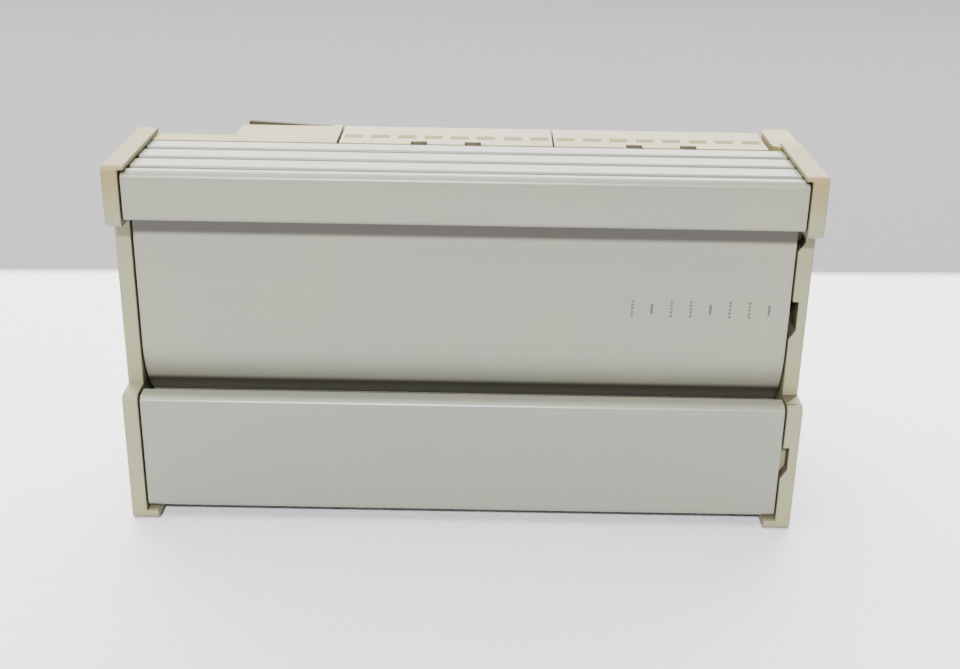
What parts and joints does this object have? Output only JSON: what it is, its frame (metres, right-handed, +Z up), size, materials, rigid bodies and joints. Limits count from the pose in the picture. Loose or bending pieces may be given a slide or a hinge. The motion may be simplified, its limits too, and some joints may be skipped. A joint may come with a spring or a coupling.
{
  "type": "plc module",
  "caption": "Rail-mounted controller input/output module: extruded housing with rail channel, moulded end caps and cover, pull-off terminal plugs, hinged port door.",
  "frame": {"origin": "middle of the footprint, on the surface that the module stands on", "axes": "+X along the housing, +Y from the rail side towards the front cover, +Z up, from the long side it stands on to the other"},
  "size_m": [0.1262, 0.052, 0.07],
  "materials": {
    "grey_pvc": "extruded, satin",
    "cream_abs": "moulded, fine texture, yellowed",
    "smoked_abs": "moulded, smoked tint, satin",
    "terminal_plastic": "moulded, satin",
    "black_plastic": "moulded, satin",
    "nylon": "moulded, satin",
    "circuit_board": "solder resist",
    "relay_case": "moulded",
    "wound_core": "sintered ferrite",
    "can_sleeve": "shrink sleeve",
    "clear_acrylic": "polished",
    "label_film": "printed film",
    "steel": "drawn, bright"
  },
  "bodies": {
    "housing": {"profile_trough": "grey_pvc", "left_end_cap": "cream_abs", "right_end_cap": "cream_abs", "front_cover": "cream_abs", "label_plate": "label_film", "header_top_left": "black_plastic", "header_top_right": "black_plastic", "header_bottom_left": "black_plastic", "header_bottom_right": "black_plastic", "power_header": "black_plastic", "main_board": "circuit_board", "logic_board": "circuit_board", "port_board": "circuit_board", "board_link_left": "black_plastic", "board_link_right": "black_plastic", "port_board_link": "black_plastic", "output_relay_1": "relay_case", "output_relay_2": "relay_case", "output_relay_3": "relay_case", "output_relay_4": "relay_case", "input_isolator_1": "black_plastic", "input_isolator_2": "black_plastic", "power_transformer": "wound_core", "smoothing_capacitor": "can_sleeve", "processor": "black_plastic", "clock_crystal": "steel", "light_guide_top": "clear_acrylic", "light_guide_bottom": "clear_acrylic", "status_guide": "clear_acrylic", "service_socket": "black_plastic", "mode_switch": "black_plastic", "pad_spring_left": "steel", "pad_spring_right": "steel"},
    "flap": {"port_flap": "smoked_abs"},
    "terminal_top_left": {"plug_top_left": "terminal_plastic"},
    "terminal_top_right": {"plug_top_right": "terminal_plastic"},
    "terminal_bottom_left": {"plug_bottom_left": "terminal_plastic"},
    "terminal_bottom_right": {"plug_bottom_right": "terminal_plastic"},
    "terminal_power": {"power_plug": "terminal_plastic"},
    "switch_knob": {"mode_slider": "nylon"},
    "pad_left": {"rail_pad_left": "nylon"},
    "pad_right": {"rail_pad_right": "nylon"}
  },
  "joints": [
    {"name": "flap_hinge", "type": "hinge", "parent": "housing", "child": "flap", "pos_m": [-0.02563, 0.01, 0.0608], "axis": [0, 0, -1], "range_deg": [-11.5, 78.5]},
    {"name": "plug_top_left_pull", "type": "slide", "parent": "housing", "child": "terminal_top_left", "axis": [0, 1, 0], "range_m": [0, 0.008]},
    {"name": "plug_top_right_pull", "type": "slide", "parent": "housing", "child": "terminal_top_right", "axis": [0, 1, 0], "range_m": [0, 0.008]},
    {"name": "plug_bottom_left_pull", "type": "slide", "parent": "housing", "child": "terminal_bottom_left", "axis": [0, 1, 0], "range_m": [0, 0.008]},
    {"name": "plug_bottom_right_pull", "type": "slide", "parent": "housing", "child": "terminal_bottom_right", "axis": [0, 1, 0], "range_m": [0, 0.008]},
    {"name": "power_plug_pull", "type": "slide", "parent": "housing", "child": "terminal_power", "axis": [0, 1, 0], "range_m": [0, 0.008]},
    {"name": "mode_slide", "type": "slide", "parent": "housing", "child": "switch_knob", "axis": [0, 0, 1], "range_m": [0, 0.003]},
    {"name": "pad_left_push", "type": "slide", "parent": "housing", "child": "pad_left", "axis": [0, 0, -1], "range_m": [0, 0.001], "stiffness_N_per_m": 1500, "deforming": ["pad_spring_left"]},
    {"name": "pad_right_push", "type": "slide", "parent": "housing", "child": "pad_right", "axis": [0, 0, -1], "range_m": [0, 0.001], "stiffness_N_per_m": 1500, "deforming": ["pad_spring_right"]}
  ]
}
